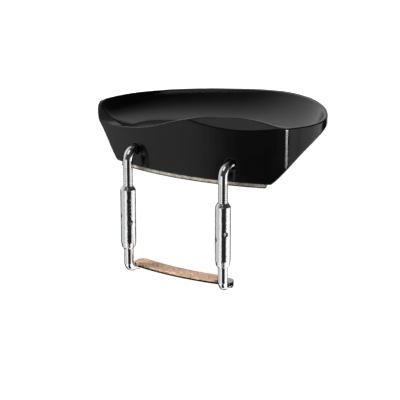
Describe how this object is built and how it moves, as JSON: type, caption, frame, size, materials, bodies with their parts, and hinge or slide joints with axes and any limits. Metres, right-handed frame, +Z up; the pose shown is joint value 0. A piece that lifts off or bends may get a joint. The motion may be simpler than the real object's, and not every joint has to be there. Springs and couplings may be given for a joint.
{
  "type": "violin chin rest",
  "caption": "Side-mounted violin chin rest: moulded black cup with a humped front lip on a cork-faced foot, clamped by barrel-and-post fittings to a cork-faced foot plate.",
  "frame": {"origin": "on the underside of the seat cork, where it rests on the violin's top, midway between the two clamp posts", "axes": "+X along the row of the two posts, left to right as the player sees them; +Y away from the player, across the violin; +Z up out of the violin's top"},
  "size_m": [0.0994, 0.0717, 0.0704],
  "materials": {
    "cup_black": "satin black moulding",
    "seat_cork": "thin cork sheet, edge greyed",
    "foot_cork": "speckled cork sheet",
    "post_chrome": "bright plated rod",
    "barrel_chrome": "bright plated, slightly worn",
    "screw_steel": "plain steel",
    "plate_steel": "plated sheet, dark at the cut edge"
  },
  "bodies": {
    "rest": {"chin_cup": "cup_black", "seat_cork": "seat_cork", "left_upper_post": "post_chrome", "right_upper_post": "post_chrome", "left_post_screw": "screw_steel", "right_post_screw": "screw_steel"},
    "left_turnbuckle": {"left_barrel": "barrel_chrome"},
    "right_turnbuckle": {"right_barrel": "barrel_chrome"},
    "foot": {"foot_plate": "plate_steel", "foot_cork": "foot_cork", "left_lower_post": "post_chrome", "right_lower_post": "post_chrome", "left_foot_rivet": "screw_steel", "right_foot_rivet": "screw_steel"}
  },
  "joints": [
    {"name": "foot_travel", "type": "slide", "parent": "rest", "child": "foot", "axis": [0, 0, 1], "range_m": [-0.0056, 0.0014]},
    {"name": "left_barrel_turn", "type": "hinge", "parent": "rest", "child": "left_turnbuckle", "pos_m": [-0.0225, -0.0096, -0.019], "axis": [0, 0, 1], "range_deg": [-1441, 361]},
    {"name": "right_barrel_turn", "type": "hinge", "parent": "rest", "child": "right_turnbuckle", "pos_m": [0.0225, -0.0096, -0.019], "axis": [0, 0, 1], "range_deg": [-1441, 361]}
  ],
  "couplings": [
    {"joint": "left_barrel_turn", "follows": "foot_travel", "rad_per_m": 4488},
    {"joint": "right_barrel_turn", "follows": "foot_travel", "rad_per_m": 4488}
  ]
}
